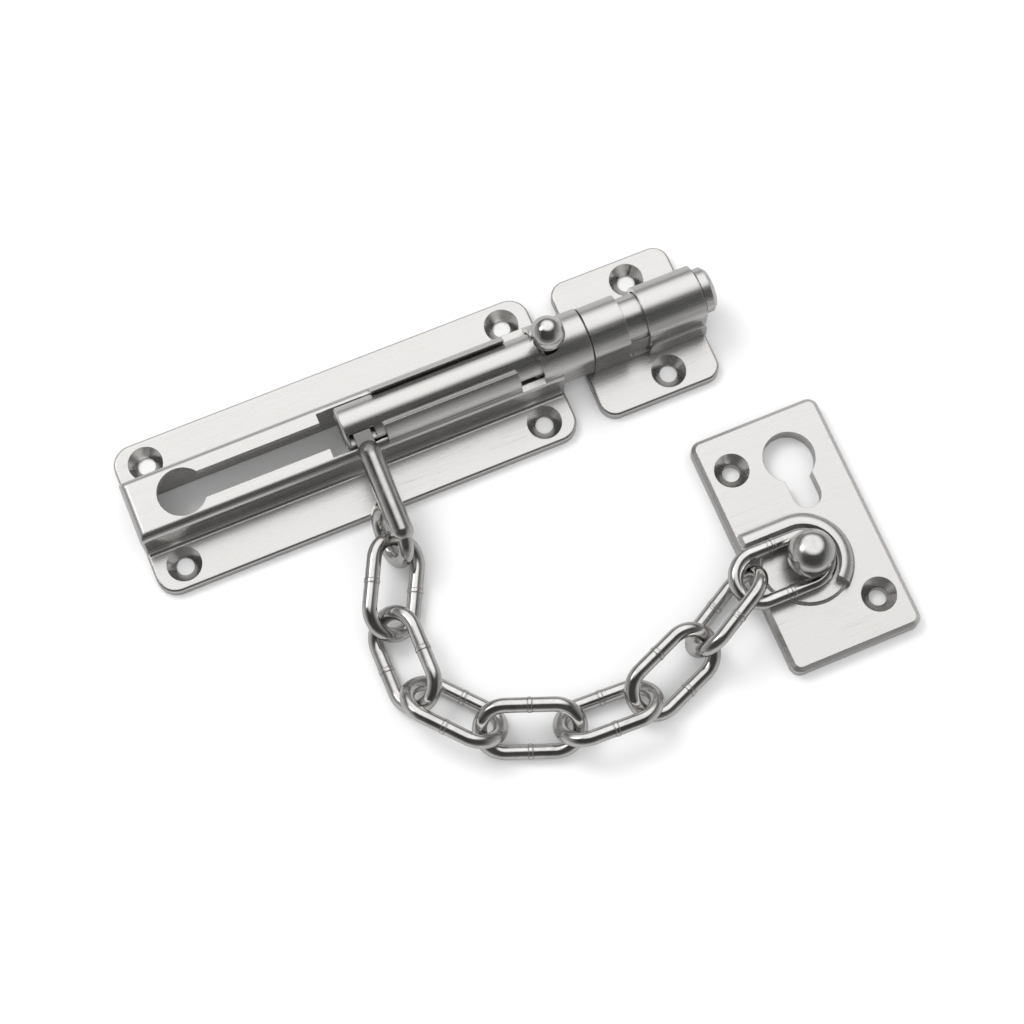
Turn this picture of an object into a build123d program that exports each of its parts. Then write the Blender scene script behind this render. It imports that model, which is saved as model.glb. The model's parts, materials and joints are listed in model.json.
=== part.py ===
"""Door chain with a sliding bolt: base, bolt, keeper, chain and chain plate, lying as laid out on a table."""

import os
from math import atan2, cos, degrees, radians, sin, sqrt

from build123d import *

# The origin is the middle of the base's mounting face. +X runs along the bolt to the keeper, +Z is up.
# All lengths are millimetres, all angles degrees.

# Base casting
base_length = 107.0
base_width = 39.0
flange_thickness = 2.6
base_corner = 5.0
base_hole_inset_x = 7.5
base_hole_inset_y = 6.0
edge_round = 0.7

# Screw holes, shared by the three plates
screw_hole_radius = 2.15
countersink_radius = 4.25
countersink_angle = 90

# Raised channel of the base
channel_width = 16.0
channel_top = 12.5
channel_wall = 2.1
channel_round = 2.2
channel_end_round = 0.8
foot_round = 1.2
foot_sink = 0.4
bridge_overhang = 8.0
bridge_skirt_bottom = 5.5

# Openings in the channel, from left to right
keyhole_inset = 13.3
keyhole_radius = 5.9
slot_width = 6.8
tail_window_lead = 3.9
tail_window_length = 13.6
tail_window_round = 2.5
guide_end_inset = 10.6
guide_opening = 8.8
guide_wall = 1.3
knob_window_length = 6.0

# Bolt
bolt_radius = 5.6
bolt_axis_z = 11.5
bolt_length = 95.2
bolt_running_gap = 0.3
bolt_travel = 38.0
bolt_nose_chamfer = 1.0
bolt_tail_chamfer = 0.5
nose_ring_inset = 3.6
nose_ring_width = 0.6
nose_ring_depth = 0.35
guide_groove_gap = 0.3
guide_groove_spare = 4.0

# Knob
knob_inset = 1.4
knob_from_tail = 52.7
knob_ball_radius = 4.2
knob_collar_radius = 3.0
knob_collar_height = 2.4
knob_stem_radius = 1.6
knob_stem_depth = 4.0
knob_neck_sink = 0.7

# Clevis that carries the chain at the bolt's tail
clevis_from_tail = 4.2
clevis_pin_y = -1.7
clevis_pin_radius = 1.0
clevis_pin_bottom = 6.8
clevis_pin_top = 16.2
clevis_floor_z = 13.6
clevis_height = 2.4
clevis_half_width = 3.2
clevis_gap = 0.2

# Lug between bolt and chain: its bar is the eye's upper strand, carried on to the bolt
tongue_width = 4.2
tongue_reach = 6.9
lug_slope = 8.0
lug_heading = -90.0
eye_roll = 68.0
lug_bar_radius = 2.75
lug_bar_length = 20.0
eye_length = 17.0
eye_width = 14.0
eye_wire = 3.6
eye_slack = 2.4
eye_drop = 0.8
eye_past_bar = 0.6

# Chain
link_length = 26.6
link_width = 15.4
link_wire = 3.5
joint_slacks = [1.5, 1.3, 1.75, 1.2, 1.05, 1.45, 0.6, 2.3, 1.5]
weld_bead_width = 0.8
weld_bead_height = 0.12
link_headings = [-117, -90, -49, -21, -2, 22, 29, 0]
link_rolls = [-35, 38, -38, 38, -38, 30, -57, 6]
joint_heights = [5.6, 5.6, 5.6, 5.6, 5.6, 6.6, 8.0, 7.7]

# Keeper
keeper_gap = 6.5
keeper_length = 31.0
keeper_width = 37.5
keeper_corner = 4.0
keeper_hole_inset = 5.85
keeper_hole_offset = 3.4
keeper_wall = 1.0
keeper_arch_inset = 2.0
keeper_notch_start = 11.2
keeper_notch_width = 5.0
keeper_notch_floor = 4.6
keeper_notch_round = 1.3
keeper_tab_height = 8.6
keeper_tab_proud = 0.9
keeper_tab_round = 1.6

# Chain plate, with its middle given from the hook
chain_plate_width = 33.0
chain_plate_length = 61.0
chain_plate_thickness = 4.0
chain_plate_corner = 2.5
chain_plate_bevel = 1.0
hook_on_plate_x = -2.6
hook_on_plate_y = -7.0
plate_hole_inset_x = 6.9
plate_hole_inset_y = 10.0
plate_keyhole_x = 4.4
plate_keyhole_y = 18.4
plate_keyhole_radius = 6.3
plate_slot_width = 7.0
plate_slot_length = 13.5
pad_radius = 10.5
pad_toe_radius = 8.5
pad_toe_reach = 3.0
pad_height = 0.9
pad_round = 0.7
collar_gap = 0.9
collar_width = 3.4
collar_height = 4.6
collar_round = 2.8
collar_end_heading = -50.0
collar_from_edge = 0.3

# Hook stud on the chain plate
hook_shank_radius = 2.5
hook_tail_radius = 2.0
hook_shoulder_radius = 3.4
hook_shoulder_height = 0.5
hook_head_radius = 5.6
hook_head_bottom = 10.4
hook_head_height = 6.4
hook_head_round = 4.6
hook_link_gap = 0.4

# Sizes that follow from those above
base_left = -base_length / 2
base_right = base_length / 2
bore_radius = bolt_radius + bolt_running_gap
guide_radius = bore_radius + guide_wall
bridge_right = base_right + bridge_overhang
cavity_width = 2 * bore_radius
roof_bottom = channel_top - channel_wall
keyhole_x = base_left + keyhole_inset
knob_x = base_right - knob_inset
bolt_tail_x = knob_x - knob_from_tail
bolt_nose_x = bolt_tail_x + bolt_length
tail_window_start = bolt_tail_x - tail_window_lead
tail_window_end = tail_window_start + tail_window_length
guide_end = base_right - guide_end_inset
knob_window_end = guide_end + knob_window_length
clevis_x = bolt_tail_x + clevis_from_tail
keeper_left = base_right + keeper_gap
keeper_right = keeper_left + keeper_length
keeper_middle = (keeper_left + keeper_right) / 2
tongue_thickness = clevis_height - 2 * clevis_gap
tongue_z = clevis_floor_z + clevis_height / 2
base_hole_reach_x = base_length / 2 - base_hole_inset_x
base_hole_reach_y = base_width / 2 - base_hole_inset_y
keeper_hole_reach = keeper_width / 2 - keeper_hole_inset
plate_hole_reach_x = chain_plate_width / 2 - plate_hole_inset_x
plate_hole_reach_y = chain_plate_length / 2 - plate_hole_inset_y
through = 60.0

os.makedirs("parts", exist_ok=True)


def save(part, name):
    """Label a finished piece and write it."""
    part.label = name
    export_step(part, f"parts/{name}.step")


def heading_vector(heading, rise=0.0):
    """Unit vector at a heading in the table's plane, lifted by a rise."""
    flat = cos(radians(rise))
    return Vector(cos(radians(heading)) * flat, sin(radians(heading)) * flat, sin(radians(rise)))


def ring_plane(middle, direction, roll):
    """Plane of a ring: x along its length, turned about that length by a roll from lying flat."""
    side = Vector(0, 0, 1).cross(direction).normalized()
    normal = direction.cross(side).rotate(Axis((0, 0, 0), direction), roll)
    return Plane(origin=middle, x_dir=direction, z_dir=normal)


# Where each chain joint lies: half the slack inside the end of the links that meet there
inside_half = link_length / 2 - link_wire
lug_direction = heading_vector(lug_heading, -lug_slope)
tongue_end = Vector(clevis_x, clevis_pin_y - tongue_reach, tongue_z)
eye_bend = (eye_width - eye_wire) / 2
eye_straight = (eye_length - eye_width) / 2
eye_side = ring_plane(tongue_end, lug_direction, eye_roll).y_dir
eye_middle = tongue_end + lug_direction * (lug_bar_length + eye_past_bar - eye_straight) - eye_side * eye_bend
eye_reach = eye_length / 2 - eye_wire - eye_slack / 2
chain_joints = [eye_middle + lug_direction * eye_reach - eye_side * eye_drop]
link_planes = []
for number, (heading, roll, height) in enumerate(zip(link_headings, link_rolls, joint_heights)):
    start_reach = inside_half - joint_slacks[number] / 2
    end_reach = inside_half - joint_slacks[number + 1] / 2
    climb = height - chain_joints[-1].Z
    rise = degrees(atan2(climb, sqrt((start_reach + end_reach) ** 2 - climb**2)))
    direction = heading_vector(heading, rise)
    link_planes.append(ring_plane(chain_joints[-1] + direction * start_reach, direction, roll))
    chain_joints.append(chain_joints[-1] + direction * (start_reach + end_reach))
last_direction = heading_vector(link_headings[-1])
hook_reach = link_length / 2 - link_wire - hook_shank_radius - hook_link_gap
hook_middle = link_planes[-1].origin + last_direction * hook_reach
plate_x = hook_middle.X - hook_on_plate_x
plate_y = hook_middle.Y - hook_on_plate_y
collar_x = hook_middle.X - hook_reach + (link_length - link_width) / 2
collar_left = plate_x - chain_plate_width / 2 + chain_plate_bevel + collar_from_edge
collar_inner = link_width / 2 + collar_gap
collar_outer = collar_inner + collar_width


# Base casting: flange, raised channel, round guide for the bolt and a bridge over its right end
with BuildPart() as base_plate:
    with BuildSketch():
        RectangleRounded(base_length, base_width, base_corner)
    extrude(amount=flange_thickness)
    fillet(base_plate.faces().sort_by(Axis.Z)[-1].edges(), edge_round)
    with BuildPart(mode=Mode.PRIVATE) as channel:
        with BuildSketch():
            Rectangle(base_length, channel_width)
        extrude(amount=channel_top)
        fillet(channel.edges().filter_by(Axis.Z).group_by(Axis.X)[0], channel_end_round)
        roof = channel.faces().sort_by(Axis.Z)[-1]
        fillet([e for e in roof.edges() if e.center().X < base_right - edge_round], channel_round)
    add(channel.part)
    # Hollow rounding where the channel's sides meet the flange
    for side in (-1, 1):
        with BuildSketch(Plane.YZ.offset(base_left + edge_round)):
            foot_y = side * (channel_width + foot_round - foot_sink) / 2
            with Locations((foot_y, flange_thickness + (foot_round - foot_sink) / 2)):
                Rectangle(foot_round + foot_sink, foot_round + foot_sink)
            with Locations((side * (channel_width / 2 + foot_round), flange_thickness + foot_round)):
                Circle(foot_round, mode=Mode.SUBTRACT)
        extrude(amount=base_length - 2 * edge_round)
    with BuildSketch(Plane.YZ.offset(tail_window_end)):
        with Locations((0, bolt_axis_z)):
            Circle(guide_radius)
    extrude(amount=bridge_right - tail_window_end)
    with BuildSketch(Plane.YZ.offset(guide_end)):
        with Locations((0, (bolt_axis_z + bridge_skirt_bottom) / 2)):
            Rectangle(2 * guide_radius, bolt_axis_z - bridge_skirt_bottom)
    extrude(amount=bridge_right - guide_end)
    # Hollow below the roof, open to the mounting face
    hollow_left = base_left + channel_wall
    with BuildSketch(Plane.XY):
        with Locations(((hollow_left + bridge_right) / 2, 0)):
            Rectangle(bridge_right - hollow_left, cavity_width)
    extrude(amount=roof_bottom, mode=Mode.SUBTRACT)
    with BuildSketch(Plane.YZ.offset(tail_window_start)):
        with Locations((0, bolt_axis_z)):
            Circle(bore_radius)
    extrude(amount=through * 2, mode=Mode.SUBTRACT)
    # Keyhole, slot, windows and the guide's open top
    with BuildSketch(Plane.XY.offset(roof_bottom)):
        with Locations((keyhole_x, 0)):
            Circle(keyhole_radius)
        with Locations(((keyhole_x + tail_window_end) / 2, 0)):
            Rectangle(tail_window_end - keyhole_x, slot_width)
        with Locations(((tail_window_start + tail_window_end) / 2, 0)):
            RectangleRounded(tail_window_end - tail_window_start, cavity_width, tail_window_round)
    extrude(amount=through, mode=Mode.SUBTRACT)
    with BuildSketch(Plane.XY.offset(bolt_axis_z)):
        with Locations(((tail_window_end + guide_end) / 2, 0)):
            Rectangle(guide_end - tail_window_end, guide_opening)
        with Locations(((guide_end + knob_window_end) / 2, 0)):
            Rectangle(knob_window_end - guide_end, through)
        with Locations(((guide_end + knob_x) / 2, 0)):
            Rectangle(knob_x - guide_end, slot_width)
        with Locations((knob_x, 0)):
            Circle(slot_width / 2)
    extrude(amount=through, mode=Mode.SUBTRACT)
    with Locations(Plane.XY.offset(flange_thickness)):
        with GridLocations(2 * base_hole_reach_x, 2 * base_hole_reach_y, 2, 2):
            CounterSinkHole(screw_hole_radius, countersink_radius, flange_thickness, countersink_angle)
save(base_plate.part, "base_plate")


# Bolt: round bar, grooved at both sides so that it can run along the slot's edges
groove_length = bolt_travel + tail_window_start - bolt_tail_x + bolt_travel / 4 + guide_groove_spare
groove_neck = slot_width - 2 * guide_groove_gap
groove_height = channel_wall + 2 * guide_groove_gap
with BuildPart() as bolt:
    with BuildSketch(Plane.YZ.offset(bolt_tail_x)):
        with Locations((0, bolt_axis_z)):
            Circle(bolt_radius)
    extrude(amount=bolt_length)
    chamfer(bolt.edges().sort_by(Axis.X)[-1], bolt_nose_chamfer)
    chamfer(bolt.edges().sort_by(Axis.X)[0], bolt_tail_chamfer)
    with BuildSketch(Plane.YZ.offset(bolt_nose_x - nose_ring_inset)):
        with Locations((0, bolt_axis_z)):
            Circle(bolt_radius)
            Circle(bolt_radius - nose_ring_depth, mode=Mode.SUBTRACT)
    extrude(amount=nose_ring_width, mode=Mode.SUBTRACT)
    with BuildSketch(Plane.YZ.offset(bolt_tail_x)):
        for side in (-1, 1):
            with Locations((side * (groove_neck / 2 + bolt_radius / 2), (roof_bottom + channel_top) / 2)):
                Rectangle(bolt_radius, groove_height)
    extrude(amount=groove_length, mode=Mode.SUBTRACT)
    # Clevis slot for the lug, open to the near side, and the holes for its pin and the knob
    clevis_back = clevis_pin_y + tongue_width / 2 + clevis_gap
    with BuildSketch(Plane.XY.offset(clevis_floor_z)):
        with Locations((clevis_x, (clevis_back - bolt_radius) / 2)):
            Rectangle(2 * clevis_half_width, bolt_radius + clevis_back)
    extrude(amount=clevis_height, mode=Mode.SUBTRACT)
    with BuildSketch(Plane.XY):
        with Locations((clevis_x, clevis_pin_y)):
            Circle(clevis_pin_radius)
    extrude(amount=clevis_pin_top, mode=Mode.SUBTRACT)
    with BuildSketch(Plane.XY.offset(bolt_axis_z + bolt_radius - knob_stem_depth)):
        with Locations((knob_x, 0)):
            Circle(knob_stem_radius)
    extrude(amount=through, mode=Mode.SUBTRACT)
save(bolt.part, "bolt")


# Pin of the clevis, driven in from below
with BuildPart() as clevis_pin:
    with BuildSketch(Plane.XY.offset(clevis_pin_bottom)):
        with Locations((clevis_x, clevis_pin_y)):
            Circle(clevis_pin_radius)
    extrude(amount=clevis_pin_top - clevis_pin_bottom)
save(clevis_pin.part, "clevis_pin")


# Knob: ball on a collar, with a stem in the bolt
bolt_crown = bolt_axis_z + bolt_radius
collar_seat = bolt_axis_z + sqrt(bolt_radius**2 - knob_collar_radius**2)
collar_top = bolt_crown + knob_collar_height
ball_middle = collar_top + sqrt(knob_ball_radius**2 - knob_stem_radius**2) - knob_neck_sink
with BuildPart() as knob:
    with BuildSketch(Plane.XY.offset(collar_seat)):
        with Locations((knob_x, 0)):
            Circle(knob_collar_radius)
    extrude(amount=collar_top - collar_seat)
    with BuildSketch(Plane.XY.offset(bolt_crown - knob_stem_depth)):
        with Locations((knob_x, 0)):
            Circle(knob_stem_radius)
    extrude(amount=collar_top - bolt_crown + knob_stem_depth)
    with Locations((knob_x, 0, ball_middle)):
        Sphere(knob_ball_radius)
    # The collar's foot follows the bar that it sits on
    with BuildPart(Plane.YZ, mode=Mode.PRIVATE) as saddle:
        with BuildSketch(Plane.YZ.offset(knob_x - through / 2)):
            with Locations((0, bolt_axis_z)):
                Circle(bolt_radius)
        extrude(amount=through)
        with BuildSketch(Plane.XY.offset(bolt_crown - knob_stem_depth)):
            with Locations((knob_x, 0)):
                Circle(knob_stem_radius)
        extrude(amount=through, mode=Mode.SUBTRACT)
    add(saddle.part, mode=Mode.SUBTRACT)
save(knob.part, "knob")


def ring_solid(length, width, wire, bead=0.0):
    """Closed ring of round wire in the XY plane, straight-sided, with a weld bead on each straight."""
    bend = (width - wire) / 2
    half = (length - width) / 2
    with BuildPart() as ring:
        for end in (-1, 1):
            with BuildSketch(Plane.YZ.offset(end * half)):
                with Locations((bend, 0)):
                    Circle(wire / 2)
            revolve(axis=Axis((end * half, 0, 0), (0, 0, -end)), revolution_arc=180)
        for side in (-1, 1):
            with BuildSketch(Plane.YZ.offset(-half)):
                with Locations((side * bend, 0)):
                    Circle(wire / 2)
            extrude(amount=2 * half)
            if bead:
                with BuildSketch(Plane.YZ.offset(-weld_bead_width / 2)):
                    with Locations((side * bend, 0)):
                        Circle(wire / 2 + bead)
                extrude(amount=weld_bead_width)
    return ring.part


# Lug: flat tongue in the clevis, thick bar down over the flange, and an eye for the first link
eye = ring_solid(eye_length, eye_width, eye_wire)
eye_plane = ring_plane(eye_middle, lug_direction, eye_roll)
with BuildPart() as chain_lug:
    with BuildSketch(Plane.XY.offset(tongue_z - tongue_thickness / 2)):
        with Locations((clevis_x, clevis_pin_y)):
            Circle(tongue_width / 2)
        with Locations((clevis_x, clevis_pin_y - tongue_reach / 2)):
            Rectangle(tongue_width, tongue_reach)
    extrude(amount=tongue_thickness)
    with BuildSketch(Plane(origin=tongue_end, z_dir=lug_direction)):
        Circle(lug_bar_radius)
    extrude(amount=lug_bar_length)
    with Locations(tongue_end, tongue_end + lug_direction * lug_bar_length):
        Sphere(lug_bar_radius)
    add(eye.moved(eye_plane.location))
    with BuildSketch(Plane.XY.offset(tongue_z - through)):
        with Locations((clevis_x, clevis_pin_y)):
            Circle(clevis_pin_radius + clevis_gap)
    extrude(amount=2 * through, mode=Mode.SUBTRACT)
save(chain_lug.part, "chain_lug")


# Chain: eight links of one shape
chain_link = ring_solid(link_length, link_width, link_wire, weld_bead_height)
for number, plane in enumerate(link_planes, start=1):
    save(chain_link.moved(plane.location), f"chain_link_{number}")


# Keeper: flange with a round arch that the bolt runs through
arch_radius = bore_radius + keeper_wall
arch_left = keeper_left + keeper_arch_inset
notch_left = keeper_left + keeper_notch_start
notch_right = notch_left + keeper_notch_width
with BuildPart() as keeper_plate:
    with BuildSketch():
        with Locations((keeper_middle, 0)):
            RectangleRounded(keeper_length, keeper_width, keeper_corner)
    extrude(amount=flange_thickness)
    fillet(keeper_plate.faces().sort_by(Axis.Z)[-1].edges(), edge_round)
    with BuildSketch(Plane.YZ.offset(arch_left)):
        with Locations((0, bolt_axis_z)):
            Circle(arch_radius)
        with Locations((0, bolt_axis_z / 2)):
            Rectangle(2 * arch_radius, bolt_axis_z)
    extrude(amount=keeper_right - arch_left)
    # Tabs that stand beside the arch's right part
    with BuildPart(mode=Mode.PRIVATE) as tab:
        with BuildSketch(Plane.XZ):
            with Locations(((notch_right + keeper_right) / 2, keeper_tab_height / 2)):
                Rectangle(keeper_right - notch_right, keeper_tab_height)
        extrude(amount=arch_radius + keeper_tab_proud, both=True)
        fillet(tab.edges().filter_by(Axis.Y).group_by(Axis.Z)[-1], keeper_tab_round)
    add(tab.part)
    with BuildSketch(Plane.YZ.offset(keeper_left)):
        with Locations((0, bolt_axis_z)):
            Circle(bore_radius)
        with Locations((0, bolt_axis_z / 2)):
            Rectangle(2 * bore_radius, bolt_axis_z)
    extrude(amount=keeper_length, mode=Mode.SUBTRACT)
    # Notch across the arch
    with BuildSketch(Plane.XZ):
        with Locations(((notch_left + notch_right) / 2, keeper_notch_floor + through / 2)):
            RectangleRounded(keeper_notch_width, through, keeper_notch_round)
    extrude(amount=through, both=True, mode=Mode.SUBTRACT)
    hole_x = keeper_middle + keeper_hole_offset
    with Locations(Plane.XY.offset(flange_thickness)):
        with Locations((hole_x, keeper_hole_reach), (hole_x, -keeper_hole_reach)):
            CounterSinkHole(screw_hole_radius, countersink_radius, flange_thickness, countersink_angle)
save(keeper_plate.part, "keeper_plate")


# Chain plate: bevelled casting with a keyhole, a low oval pad round the hook and a collar beside the last link
with BuildPart() as chain_plate:
    with BuildSketch():
        with Locations((plate_x, plate_y)):
            RectangleRounded(chain_plate_width, chain_plate_length, chain_plate_corner)
    extrude(amount=chain_plate_thickness)
    chamfer(chain_plate.faces().sort_by(Axis.Z)[-1].edges(), chain_plate_bevel)
    with BuildPart(mode=Mode.PRIVATE) as pad:
        with BuildSketch(Plane.XY.offset(chain_plate_thickness)):
            with Locations((hook_middle.X, hook_middle.Y)):
                Circle(pad_radius)
            with Locations((hook_middle.X - pad_toe_reach, hook_middle.Y)):
                Circle(pad_toe_radius)
            make_hull()
        extrude(amount=pad_height)
        fillet(pad.faces().sort_by(Axis.Z)[-1].edges(), pad_round)
    add(pad.part)
    # Raised collar along the far side of the last link and round its end, open towards the near side
    with BuildPart(mode=Mode.PRIVATE) as collar:
        straight = collar_x - collar_left
        with BuildSketch(Plane(origin=(collar_x, hook_middle.Y, chain_plate_thickness))):
            for radius, kind in ((collar_outer, Mode.ADD), (collar_inner, Mode.SUBTRACT)):
                Circle(radius, mode=kind)
                with Locations((-straight / 2, radius / 2)):
                    Rectangle(straight, radius, mode=kind)
            past = 2 * collar_outer
            end_x = past * cos(radians(collar_end_heading))
            end_y = past * sin(radians(collar_end_heading))
            beside = [(-straight, 0), (-straight, past), (-past, past), (-past, -past)]
            near_side = [(0, 0), *beside, (end_x, -past), (end_x, end_y)]
            Polygon(*near_side, align=None, mode=Mode.SUBTRACT)
        extrude(amount=collar_height)
        rim = collar.faces().sort_by(Axis.Z)[-1].edges()
        outer_arcs = rim.filter_by(GeomType.CIRCLE).group_by(SortBy.RADIUS)[-1]
        outer_straight = rim.filter_by(Axis.X).sort_by(Axis.Y)[-1]
        fillet([*outer_arcs, outer_straight], collar_round)
    add(collar.part)
    with BuildSketch():
        with Locations((plate_x + plate_keyhole_x, plate_y + plate_keyhole_y)):
            Circle(plate_keyhole_radius)
            slot_straight = plate_slot_length - plate_slot_width / 2
            with Locations((0, -slot_straight / 2)):
                Rectangle(plate_slot_width, slot_straight)
            with Locations((0, -slot_straight)):
                Circle(plate_slot_width / 2)
    extrude(amount=through, mode=Mode.SUBTRACT)
    with BuildSketch():
        with Locations((hook_middle.X, hook_middle.Y)):
            Circle(hook_tail_radius)
    extrude(amount=through, mode=Mode.SUBTRACT)
    with Locations(Plane.XY.offset(chain_plate_thickness)):
        with Locations(
            (plate_x - plate_hole_reach_x, plate_y + plate_hole_reach_y),
            (plate_x + plate_hole_reach_x, plate_y - plate_hole_reach_y),
        ):
            CounterSinkHole(screw_hole_radius, countersink_radius, chain_plate_thickness, countersink_angle)
save(chain_plate.part, "chain_plate")


# Hook stud: turned, with a domed head that the last link can only leave when it is turned and tipped
pad_top = chain_plate_thickness + pad_height
with BuildPart() as hook_stud:
    with BuildSketch(Plane.XY):
        with Locations((hook_middle.X, hook_middle.Y)):
            Circle(hook_tail_radius)
    extrude(amount=pad_top)
    with BuildSketch(Plane.XY.offset(pad_top)):
        with Locations((hook_middle.X, hook_middle.Y)):
            Circle(hook_shoulder_radius)
    extrude(amount=hook_shoulder_height)
    with BuildSketch(Plane.XY.offset(pad_top)):
        with Locations((hook_middle.X, hook_middle.Y)):
            Circle(hook_shank_radius)
    extrude(amount=hook_head_bottom - pad_top)
    with BuildSketch(Plane.XY.offset(hook_head_bottom)):
        with Locations((hook_middle.X, hook_middle.Y)):
            Circle(hook_head_radius)
    extrude(amount=hook_head_height)
    fillet(hook_stud.edges().sort_by(Axis.Z)[-1], hook_head_round)
save(hook_stud.part, "hook_stud")

print("chain joints", [[round(v, 2) for v in joint] for joint in chain_joints])
print("hook", round(hook_middle.X, 2), round(hook_middle.Y, 2))
print("chain plate", round(plate_x, 2), round(plate_y, 2))
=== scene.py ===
import bpy
import json
import math
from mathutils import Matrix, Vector

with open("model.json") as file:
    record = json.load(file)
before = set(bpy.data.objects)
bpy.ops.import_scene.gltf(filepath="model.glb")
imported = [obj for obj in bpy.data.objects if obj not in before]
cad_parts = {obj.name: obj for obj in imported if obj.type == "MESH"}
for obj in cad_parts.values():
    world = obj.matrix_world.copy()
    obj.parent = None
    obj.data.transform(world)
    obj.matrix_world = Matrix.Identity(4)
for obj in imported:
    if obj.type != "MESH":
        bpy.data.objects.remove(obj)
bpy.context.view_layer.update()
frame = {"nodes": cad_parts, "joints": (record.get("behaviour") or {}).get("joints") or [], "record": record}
nodes = frame["nodes"]
mounts = {mount["name"]: mount for mount in frame["record"]["mounts"]}
pivots = {joint["name"]: Vector(joint["pos_m"]) for joint in frame["joints"] if "pos_m" in joint}
mm = 0.001
print("frame loaded:", len(nodes), "nodes,", len(pivots), "pivots")


# A shader socket that takes part in Python sums; node() adds any other node beside it
class Sock:
    def __init__(self, tree, out=None):
        self.tree = tree
        self.out = out

    def node(self, kind, settings=None, sockets=None, output=0):
        made = self.tree.nodes.new(kind)
        for key, value in (settings or {}).items():
            setattr(made, key, value)
        for key, value in (sockets or {}).items():
            if isinstance(value, Sock):
                self.tree.links.new(value.out, made.inputs[key])
            else:
                made.inputs[key].default_value = value
        return Sock(self.tree, made.outputs[output])

    def compute(self, operation, first, second=0.0):
        return self.node("ShaderNodeMath", {"operation": operation}, {0: first, 1: second})

    def __add__(self, other):
        return self.compute("ADD", self, other)

    def __radd__(self, other):
        return self.compute("ADD", other, self)

    def __sub__(self, other):
        return self.compute("SUBTRACT", self, other)

    def __rsub__(self, other):
        return self.compute("SUBTRACT", other, self)

    def __mul__(self, other):
        return self.compute("MULTIPLY", self, other)

    def __rmul__(self, other):
        return self.compute("MULTIPLY", other, self)

    def __abs__(self):
        return self.compute("ABSOLUTE", self)

    def root(self):
        return self.compute("SQRT", self)

    def sine(self):
        return self.compute("SINE", self)

    def lesser(self, other):
        return self.compute("MINIMUM", self, other)

    def clamp(self, low, high):
        return self.compute("MINIMUM", self.compute("MAXIMUM", self, low), high)

    def step(self, low, high):
        return self.node(
            "ShaderNodeMapRange", {"interpolation_type": "SMOOTHSTEP"},
            {"Value": self, "From Min": low, "From Max": high})

    def dot(self, other):
        return self.node("ShaderNodeVectorMath", {"operation": "DOT_PRODUCT"}, {0: self, 1: other}, "Value")

    def axis(self, index):
        return self.node("ShaderNodeSeparateXYZ", None, {0: self}, index)

    def noise(self, scale, detail, roughness=0.55):
        return self.node(
            "ShaderNodeTexNoise", None,
            {"Vector": self, "Scale": scale, "Detail": detail, "Roughness": roughness})

    def stretch(self, scales, turn):
        return self.node(
            "ShaderNodeMapping", None,
            {"Vector": self, "Scale": scales, "Rotation": (0, 0, math.radians(turn))})

    def blend(self, low, high):
        return self.node("ShaderNodeMix", {"data_type": "RGBA"}, {0: self, 6: low, 7: high}, 2)


def blankMaterial(name):
    material = bpy.data.materials.new(name)
    material.use_nodes = True
    tree = material.node_tree
    tree.nodes.clear()
    shader = tree.nodes.new("ShaderNodeBsdfPrincipled")
    result = tree.nodes.new("ShaderNodeOutputMaterial")
    tree.links.new(shader.outputs[0], result.inputs["Surface"])
    return material, Sock(tree), shader


def grey(level, warmth=0.02):
    return (level, level * (1 - warmth), level * (1 - 2 * warmth), 1)


def dress(node, material):
    for slot in nodes[node].material_slots:
        slot.material = material


edges = {"samples": 6, "maskFrom": 0.01, "maskTo": 0.18}


# Normal with the sharp edges broken, and a mask that is bright only along them
def brokenEdges(sheet, radius):
    rounded = sheet.node("ShaderNodeBevel", {"samples": edges["samples"]}, {"Radius": radius * mm})
    flat = sheet.node("ShaderNodeNewGeometry", None, None, "Normal")
    return rounded, (1.0 - rounded.dot(flat)).step(edges["maskFrom"], edges["maskTo"])


corners = {"samples": 6, "maskFrom": 0.30, "maskTo": 0.95}


# Painted shade: colour darkened in inner corners and recesses, found by ambient occlusion
def paintedCornerShade(sheet, reach):
    exposed = sheet.node(
        "ShaderNodeAmbientOcclusion", {"samples": corners["samples"]}, {"Distance": reach * mm}, "AO")
    return (1.0 - exposed).step(corners["maskFrom"], corners["maskTo"])


# Distance from the nearest upright axis
def axisReach(where, centres):
    east, north = where.axis(0), where.axis(1)
    nearest = None
    for x, y in centres:
        across, along = east - x, north - y
        reach = (across * across + along * along).root()
        nearest = reach if nearest is None else nearest.lesser(reach)
    return nearest


satin = {
    "dark": grey(0.67),
    "light": grey(0.81),
    "streakTone": 0.50,
    "driftTone": 0.35,
    "edge": grey(0.90),
    "edgeAmount": 0.55,
    "edgeRound": 0.22,
    # painted shade colour for inner corners and recesses
    "paintedShade": grey(0.16, 0.04),
    "paintedShadeAmount": 0.45,
    "paintedShadeReach": 2.5,
    "roughness": 0.21,
    "streakRoughness": 0.10,
    "driftRoughness": 0.06,
    "hairRoughness": 0.14,
    "paintedShadeRoughness": 0.10,
    "edgeSmoothing": 0.06,
    "roughnessRange": (0.06, 0.9),
    "grainTurn": 0,
    "fineGrain": (60, 6200, 6200),
    "fineShare": 0.62,
    "broadGrain": (12, 950, 950),
    "broadShare": 0.38,
    "streakRange": (0.30, 0.70),
    "driftScale": 34.0,
    "hairGrain": (26, 1500, 1500),
    "hairTurn": 9,
    "hairWidth": 0.010,
    "hairPatches": (0.48, 0.62),  # the drift levels between which stray hairlines appear
    "hairDepth": 0.25,
    "relief": 0.10,
    "bumpStrength": 0.35,
    "bumpDepth": 0.02,
    "holes": (),
    "countersink": 4.25,
    "sinkRim": (0.97, 1.01),
    "sinkSmoothing": 0.14,
    # painted highlight: how much lighter the countersinks are painted
    "sinkPaintedHighlight": 0.8,
    "ringPitch": 0.40,
    "ringRelief": 0.12,
}
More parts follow.
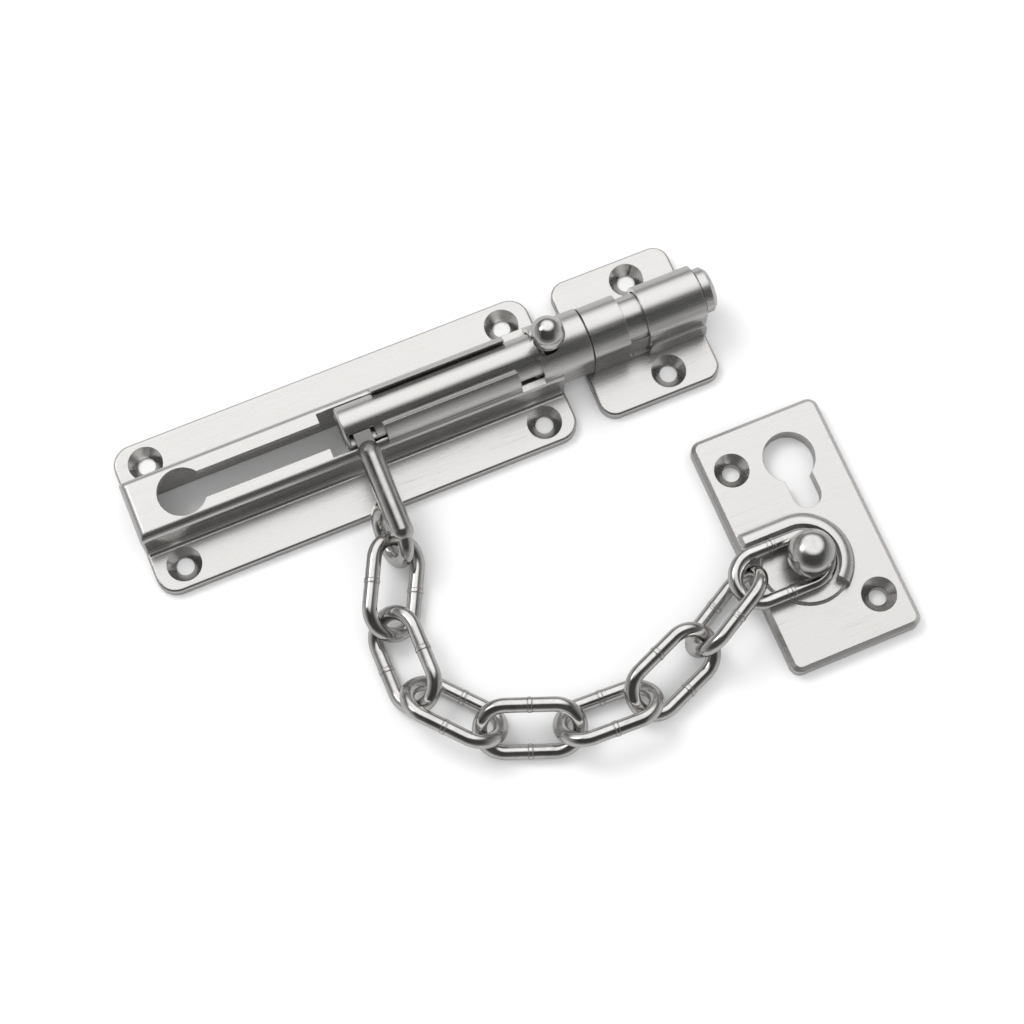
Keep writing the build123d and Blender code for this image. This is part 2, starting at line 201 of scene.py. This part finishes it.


# Brushed steel: long streaks, drifting sheen, a few stray hairlines, broken edges painted lighter (rubbed
# wear and a painted highlight), turned countersinks painted lighter as a painted highlight, and painted
# shade in inner corners
def brushedSteel(name, piece):
    material, sheet, shader = blankMaterial(name)
    where = sheet.node("ShaderNodeTexCoord", None, None, "Object")
    turn = piece["grainTurn"]
    fine = where.stretch(piece["fineGrain"], turn).noise(1.0, detail=2.0)
    broad = where.stretch(piece["broadGrain"], turn).noise(1.0, detail=3.0)
    hairField = where.stretch(piece["hairGrain"], turn + piece["hairTurn"]).noise(1.0, detail=1.0)
    drift = where.noise(piece["driftScale"], detail=2.0)
    streak = (fine * piece["fineShare"] + broad * piece["broadShare"]).step(*piece["streakRange"])
    hair = 1.0 - abs(hairField - 0.5).step(0.0, piece["hairWidth"])
    hair = hair * drift.step(*piece["hairPatches"])
    rounded, edge = brokenEdges(sheet, piece["edgeRound"])
    # painted shade mask: inner corners and recesses found by ambient occlusion
    paintedShade = paintedCornerShade(sheet, piece["paintedShadeReach"])
    rough = streak * piece["streakRoughness"] + drift * piece["driftRoughness"] + piece["roughness"]
    rough = rough + hair * piece["hairRoughness"] - edge * piece["edgeSmoothing"]
    relief = streak * piece["relief"] - hair * piece["hairDepth"]
    if piece["holes"]:
        reach = axisReach(where, piece["holes"])
        rimFrom, rimTo = (piece["countersink"] * mm * share for share in piece["sinkRim"])
        inside = 1.0 - reach.step(rimFrom, rimTo)
        rings = (reach * (2 * math.pi / (piece["ringPitch"] * mm))).sine()
        rough = rough - inside * piece["sinkSmoothing"]
        paintedShade = paintedShade * (1.0 - inside)
        relief = relief * (1.0 - inside) + rings * inside * piece["ringRelief"]
        # painted highlight: countersinks lightened in colour
        streak = streak + inside * piece["sinkPaintedHighlight"]
    tone = streak * piece["streakTone"] + drift * piece["driftTone"]
    plain = tone.blend(piece["dark"], piece["light"])
    # lighter broken edges: partly rubbed wear, partly a painted highlight
    wornAndHighlit = (edge * piece["edgeAmount"]).blend(plain, piece["edge"])
    # painted shade: colour darkened towards a dark grey in inner corners
    colour = (paintedShade * piece["paintedShadeAmount"]).blend(wornAndHighlit, piece["paintedShade"])
    rough = (rough + paintedShade * piece["paintedShadeRoughness"]).clamp(*piece["roughnessRange"])
    bump = sheet.node(
        "ShaderNodeBump", None,
        {"Height": relief, "Strength": piece["bumpStrength"], "Distance": piece["bumpDepth"] * mm,
         "Normal": rounded})
    sheet.tree.links.new(colour.out, shader.inputs["Base Color"])
    sheet.tree.links.new(rough.out, shader.inputs["Roughness"])
    sheet.tree.links.new(bump.out, shader.inputs["Normal"])
    shader.inputs["Metallic"].default_value = 1.0
    return material


def gridHoles(mount):
    x, y = mount["pos_m"][:2]
    halfX = mount["dims"].get("spacing_x_mm", 0) * mm / 2
    halfY = mount["dims"].get("spacing_y_mm", 0) * mm / 2
    signsX = (-1, 1) if halfX else (0,)
    signsY = (-1, 1) if halfY else (0,)
    return [(x + i * halfX, y + j * halfY) for i in signsX for j in signsY]


basePlate = {**satin, "holes": gridHoles(mounts["base_screws"])}
dress("base_plate", brushedSteel("baseSteel", basePlate))

keeperPlate = {**satin, "holes": gridHoles(mounts["keeper_screws"])}
dress("keeper_plate", brushedSteel("keeperSteel", keeperPlate))

# The chain plate's two screws stand in opposite corners
chainPlate = {**satin, "grainTurn": 90, "holeX": 9.6, "holeY": 20.5}
plateX, plateY = mounts["chain_plate_screws"]["pos_m"][:2]
chainPlate["holes"] = [
    (plateX + side * chainPlate["holeX"] * mm, plateY - side * chainPlate["holeY"] * mm)
    for side in (-1, 1)]
dress("chain_plate", brushedSteel("chainPlateSteel", chainPlate))

boltBar = {
    **satin,
    "dark": grey(0.66),
    "light": grey(0.80),
    "edge": grey(0.88),
    "roughness": 0.19,
    "relief": 0.08,
}
dress("bolt", brushedSteel("boltSteel", boltBar))
print("brushed pieces finished")


polished = {
    "dark": grey(0.60),
    "light": grey(0.78),
    "toneRange": (0.3, 0.7),
    "edge": grey(0.84),
    "edgeAmount": 0.35,
    "edgeRound": 0.22,
    # painted shade colour for inner corners and recesses
    "paintedShade": grey(0.13, 0.05),
    "paintedShadeAmount": 0.45,
    "paintedShadeReach": 1.8,
    "roughness": 0.10,
    "smudgeRoughness": 0.10,
    "pitRoughness": 0.08,
    "roughnessRange": (0.05, 0.9),
    "smudgeScale": 160.0,
    "smudgeRange": (0.35, 0.75),
    "smudgeTone": 0.6,
    "drawnScale": 520.0,
    "drawnTone": 0.4,
    "drawnDepth": 0.6,
    "pitScale": 1500.0,
    "pitRange": (0.55, 0.80),
    "pitDepth": 0.4,
    "bumpStrength": 0.12,
    "bumpDepth": 0.03,
    "pivot": None,
    "pivotFrom": 6.4,
    "pivotTo": 8.6,
    "pivotTint": grey(0.15, 0.05),
    "pivotAmount": 0.85,
    "pivotRoughness": 0.18,
    "weld": None,
    "weldHalf": 0.55,
    "weldLine": (0.10, 0.45),
    "weldTint": grey(0.30, 0.10),
    "weldAmount": 0.55,
    "weldRoughness": 0.18,
}


# Polished wire and turned parts: smudges, draw marks, pits, darker rougher colour near a pivot, a dull line
# on each side of a weld, broken edges painted lighter (rubbed wear and a painted highlight) and painted
# shade in inner corners
def polishedSteel(name, piece):
    material, sheet, shader = blankMaterial(name)
    where = sheet.node("ShaderNodeTexCoord", None, None, "Object")
    smudge = where.noise(piece["smudgeScale"], detail=4.0)
    drawn = where.noise(piece["drawnScale"], detail=2.0)
    pits = where.noise(piece["pitScale"], detail=3.0, roughness=0.65).step(*piece["pitRange"])
    rounded, edge = brokenEdges(sheet, piece["edgeRound"])
    # painted shade mask: inner corners and recesses found by ambient occlusion
    paintedShade = paintedCornerShade(sheet, piece["paintedShadeReach"])
    rough = smudge.step(*piece["smudgeRange"]) * piece["smudgeRoughness"]
    rough = rough + pits * piece["pitRoughness"] + piece["roughness"]
    tone = (smudge * piece["smudgeTone"] + drawn * piece["drawnTone"]).step(*piece["toneRange"])
    plain = tone.blend(piece["dark"], piece["light"])
    # lighter broken edges: partly rubbed wear, partly a painted highlight
    colour = (edge * piece["edgeAmount"]).blend(plain, piece["edge"])
    if piece["pivot"] is not None:
        reach = axisReach(where, [piece["pivot"][:2]])
        # darker, rougher colour near the pivot pin
        nearPivot = 1.0 - reach.step(piece["pivotFrom"] * mm, piece["pivotTo"] * mm)
        rough = rough + nearPivot * piece["pivotRoughness"]
        colour = (nearPivot * piece["pivotAmount"]).blend(colour, piece["pivotTint"])
    if piece["weld"] is not None:
        middle, heading = piece["weld"]
        along = abs(where.dot(tuple(heading)) - middle.dot(heading))
        half = piece["weldHalf"] * mm
        lineFrom, lineTo = (half * share for share in piece["weldLine"])
        line = 1.0 - abs(along - half).step(lineFrom, lineTo)
        rough = rough + line * piece["weldRoughness"]
        colour = (line * piece["weldAmount"]).blend(colour, piece["weldTint"])
    # painted shade: colour darkened towards a dark grey in inner corners
    colour = (paintedShade * piece["paintedShadeAmount"]).blend(colour, piece["paintedShade"])
    relief = drawn * piece["drawnDepth"] + pits * piece["pitDepth"]
    bump = sheet.node(
        "ShaderNodeBump", None,
        {"Height": relief, "Strength": piece["bumpStrength"], "Distance": piece["bumpDepth"] * mm,
         "Normal": rounded})
    sheet.tree.links.new(colour.out, shader.inputs["Base Color"])
    sheet.tree.links.new(rough.clamp(*piece["roughnessRange"]).out, shader.inputs["Roughness"])
    sheet.tree.links.new(bump.out, shader.inputs["Normal"])
    shader.inputs["Metallic"].default_value = 1.0
    return material


knob = {**polished, "roughness": 0.08}
dress("knob", polishedSteel("knobSteel", knob))

clevisPin = {**polished, "smudgeScale": 240.0, "roughness": 0.16}
dress("clevis_pin", polishedSteel("pinSteel", clevisPin))

chainLug = {**polished, "roughness": 0.13, "pivot": pivots["lug_swing"]}
dress("chain_lug", polishedSteel("lugSteel", chainLug))

hookStud = {**polished, "roughness": 0.17, "smudgeScale": 90.0}
dress("hook_stud", polishedSteel("studSteel", hookStud))

# Each link lies between its own pivot and the next one, with its welds halfway
chainLink = {**polished, "count": 8}
for number in range(1, chainLink["count"] + 1):
    start = pivots[f"link_{number}_turn"]
    end = pivots.get(f"link_{number + 1}_turn", pivots["chain_plate_turn"])
    weld = ((start + end) / 2, (end - start).normalized())
    dress(f"chain_link_{number}", polishedSteel(f"linkSteel{number}", {**chainLink, "weld": weld}))
print("polished pieces finished")


table = {
    "half": 20.0,
    "drop": 0.05,
    "white": grey(0.93, 0),
    "mirrored": grey(0.50, 0),
    "roughness": 0.85,
    "specular": 0.1,
}


# White table under the object, greyer where the metal mirrors it
def paleTable():
    half = table["half"]
    rim = [(-half, -half, 0), (half, -half, 0), (half, half, 0), (-half, half, 0)]
    mesh = bpy.data.meshes.new("tableTop")
    mesh.from_pydata(rim, [], [(0, 1, 2, 3)])
    top = bpy.data.objects.new("tableTop", mesh)
    bpy.context.scene.collection.objects.link(top)
    top.location.z = -table["drop"] * mm
    material, sheet, shader = blankMaterial("whiteTable")
    shader.inputs["Base Color"].default_value = table["white"]
    shader.inputs["Roughness"].default_value = table["roughness"]
    shader.inputs["Specular IOR Level"].default_value = table["specular"]
    greyer = sheet.node("ShaderNodeBsdfDiffuse", None, {"Color": table["mirrored"]})
    glossy = sheet.node("ShaderNodeLightPath", None, None, "Is Glossy Ray")
    white = Sock(sheet.tree, shader.outputs[0])
    both = sheet.node("ShaderNodeMixShader", None, {0: glossy, 1: white, 2: greyer})
    sheet.tree.links.new(both.out, sheet.tree.nodes["Material Output"].inputs["Surface"])
    mesh.materials.append(material)


studio = {
    "brightAxis": (0.18, 0.52, 0.83),
    "brightRange": (0.70, 0.90),
    "bright": 1.15,
    "coreAxis": (-0.50, 0.45, 0.74),
    "coreRange": (0.965, 0.995),
    "core": 2.2,
    "sideAxis": (0.92, -0.39, 0.0),
    "sideRange": (0.55, 0.95),
    "side": 0.22,
    "wallRange": (0.05, 0.50),
    "wall": 0.20,
    "dark": 0.05,
    "dome": 1.0,
}


# An even dome lights the table; the metal sees a broad soft light overhead with a small bright
# one beside it, a light at each side, pale walls and dark between them
def softStudio():
    world = bpy.data.worlds.new("studio")
    bpy.context.scene.world = world
    world.use_nodes = True
    world.node_tree.nodes.clear()
    sky = Sock(world.node_tree)
    heading = sky.node("ShaderNodeTexCoord", None, None, "Generated")
    glossy = sky.node("ShaderNodeLightPath", None, None, "Is Glossy Ray")
    overhead = heading.dot(studio["brightAxis"]).step(*studio["brightRange"])
    side = abs(heading.dot(studio["sideAxis"])).step(*studio["sideRange"])
    core = heading.dot(studio["coreAxis"]).step(*studio["coreRange"])
    wall = 1.0 - abs(heading.axis(2)).step(*studio["wallRange"])
    above = overhead * studio["bright"] + core * studio["core"]
    tent = above + wall * studio["wall"] + side * studio["side"] + studio["dark"]
    level = glossy * tent + (1.0 - glossy) * studio["dome"]
    shown = sky.node("ShaderNodeBackground", None, {"Color": level, "Strength": 1.0})
    result = world.node_tree.nodes.new("ShaderNodeOutputWorld")
    world.node_tree.links.new(shown.out, result.inputs[0])


photoView = {
    "azimuth": -22.66,
    "elevation": 72.5,
    "target": Vector((30.4, -30.6, 0)) * mm,
    "distance": 524 * mm,
    "lens": 77.3,
    "sensor": 36,
    "nearest": 10 * mm,
}


def photoCamera():
    turn, rise = math.radians(photoView["azimuth"]), math.radians(photoView["elevation"])
    back = Vector((math.sin(turn) * math.cos(rise), -math.cos(turn) * math.cos(rise), math.sin(rise)))
    data = bpy.data.cameras.new("photoCamera")
    data.lens = photoView["lens"]
    data.sensor_width = photoView["sensor"]
    data.clip_start = photoView["nearest"]
    camera = bpy.data.objects.new("photoCamera", data)
    camera.location = photoView["target"] + back * photoView["distance"]
    camera.rotation_mode = "QUATERNION"
    camera.rotation_quaternion = (-back).to_track_quat("-Z", "Y")
    bpy.context.scene.collection.objects.link(camera)
    bpy.context.scene.camera = camera


keyLamp = {"place": Vector((-0.25, 0.45, 0.75)), "size": 0.45, "power": 3.0}


def softLamp():
    data = bpy.data.lights.new("keyLamp", "AREA")
    data.shape = "DISK"
    data.size = keyLamp["size"]
    data.energy = keyLamp["power"]
    lamp = bpy.data.objects.new("keyLamp", data)
    lamp.location = keyLamp["place"]
    lamp.rotation_euler = (photoView["target"] - keyLamp["place"]).to_track_quat("-Z", "Y").to_euler()
    lamp.visible_glossy = False  # the metal mirrors the studio only
    bpy.context.scene.collection.objects.link(lamp)


paleTable()
softStudio()
softLamp()
photoCamera()
bpy.context.scene.view_settings.view_transform = "Standard"
print("table, studio, lamp and camera placed")
